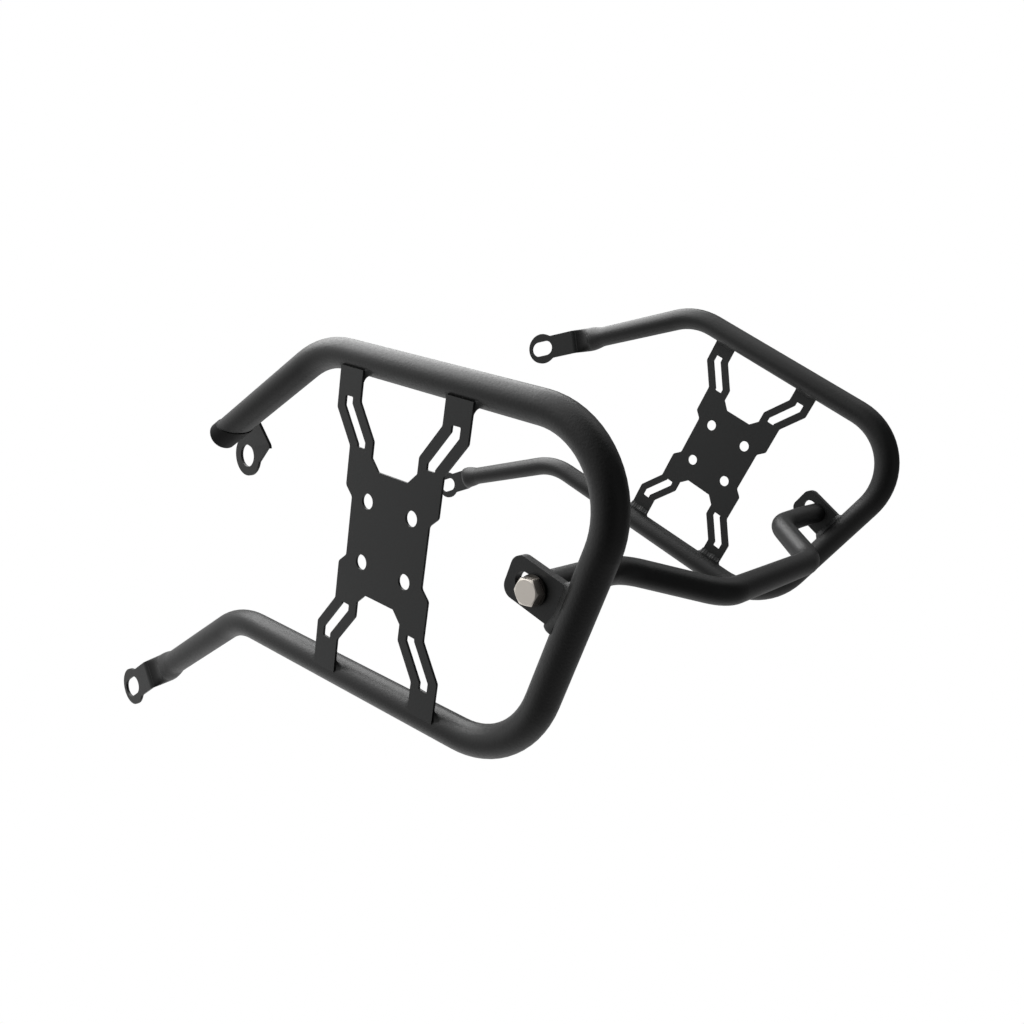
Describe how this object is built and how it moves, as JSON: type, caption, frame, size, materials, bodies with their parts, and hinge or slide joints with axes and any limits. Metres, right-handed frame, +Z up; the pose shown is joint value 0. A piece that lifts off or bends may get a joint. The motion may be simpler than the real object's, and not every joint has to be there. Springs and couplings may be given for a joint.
{
  "type": "pannier frame",
  "caption": "Pair of bent steel tube pannier frames with slotted bag plates and eye tabs, joined by a bolted cross tube behind the tail.",
  "frame": {"origin": "centre of the left upper eye, in the middle of the tab's thickness", "axes": "+X forwards on the bike, +Y to the rider's left along the left upper eye's bore, +Z up"},
  "size_m": [0.4862, 0.3919, 0.3768],
  "materials": {
    "black_powder_coat": "satin powder coat",
    "stainless_steel": "satin",
    "black_oxide_steel": "black oxide",
    "black_rubber": "matte",
    "zinc_steel": "zinc plated"
  },
  "bodies": {
    "root": {"left_frame_tube": "black_powder_coat", "left_bag_plate": "black_powder_coat", "left_rear_bracket": "black_powder_coat", "left_upper_end_boot": "black_rubber", "left_upper_tab": "black_powder_coat", "left_lower_end_cap": "black_powder_coat", "left_lower_tab": "black_powder_coat", "left_clamp_bolt": "stainless_steel", "left_clamp_washer": "black_oxide_steel", "left_thread_plug": "zinc_steel", "right_frame_tube": "black_powder_coat", "right_bag_plate": "black_powder_coat", "right_rear_bracket": "black_powder_coat", "right_upper_end_cap": "black_powder_coat", "right_upper_tab": "black_powder_coat", "right_lower_end_cap": "black_powder_coat", "right_lower_tab": "black_powder_coat", "right_clamp_bolt": "stainless_steel", "right_clamp_washer": "black_oxide_steel", "right_thread_plug": "zinc_steel", "cross_tube": "black_powder_coat"}
  },
  "joints": []
}
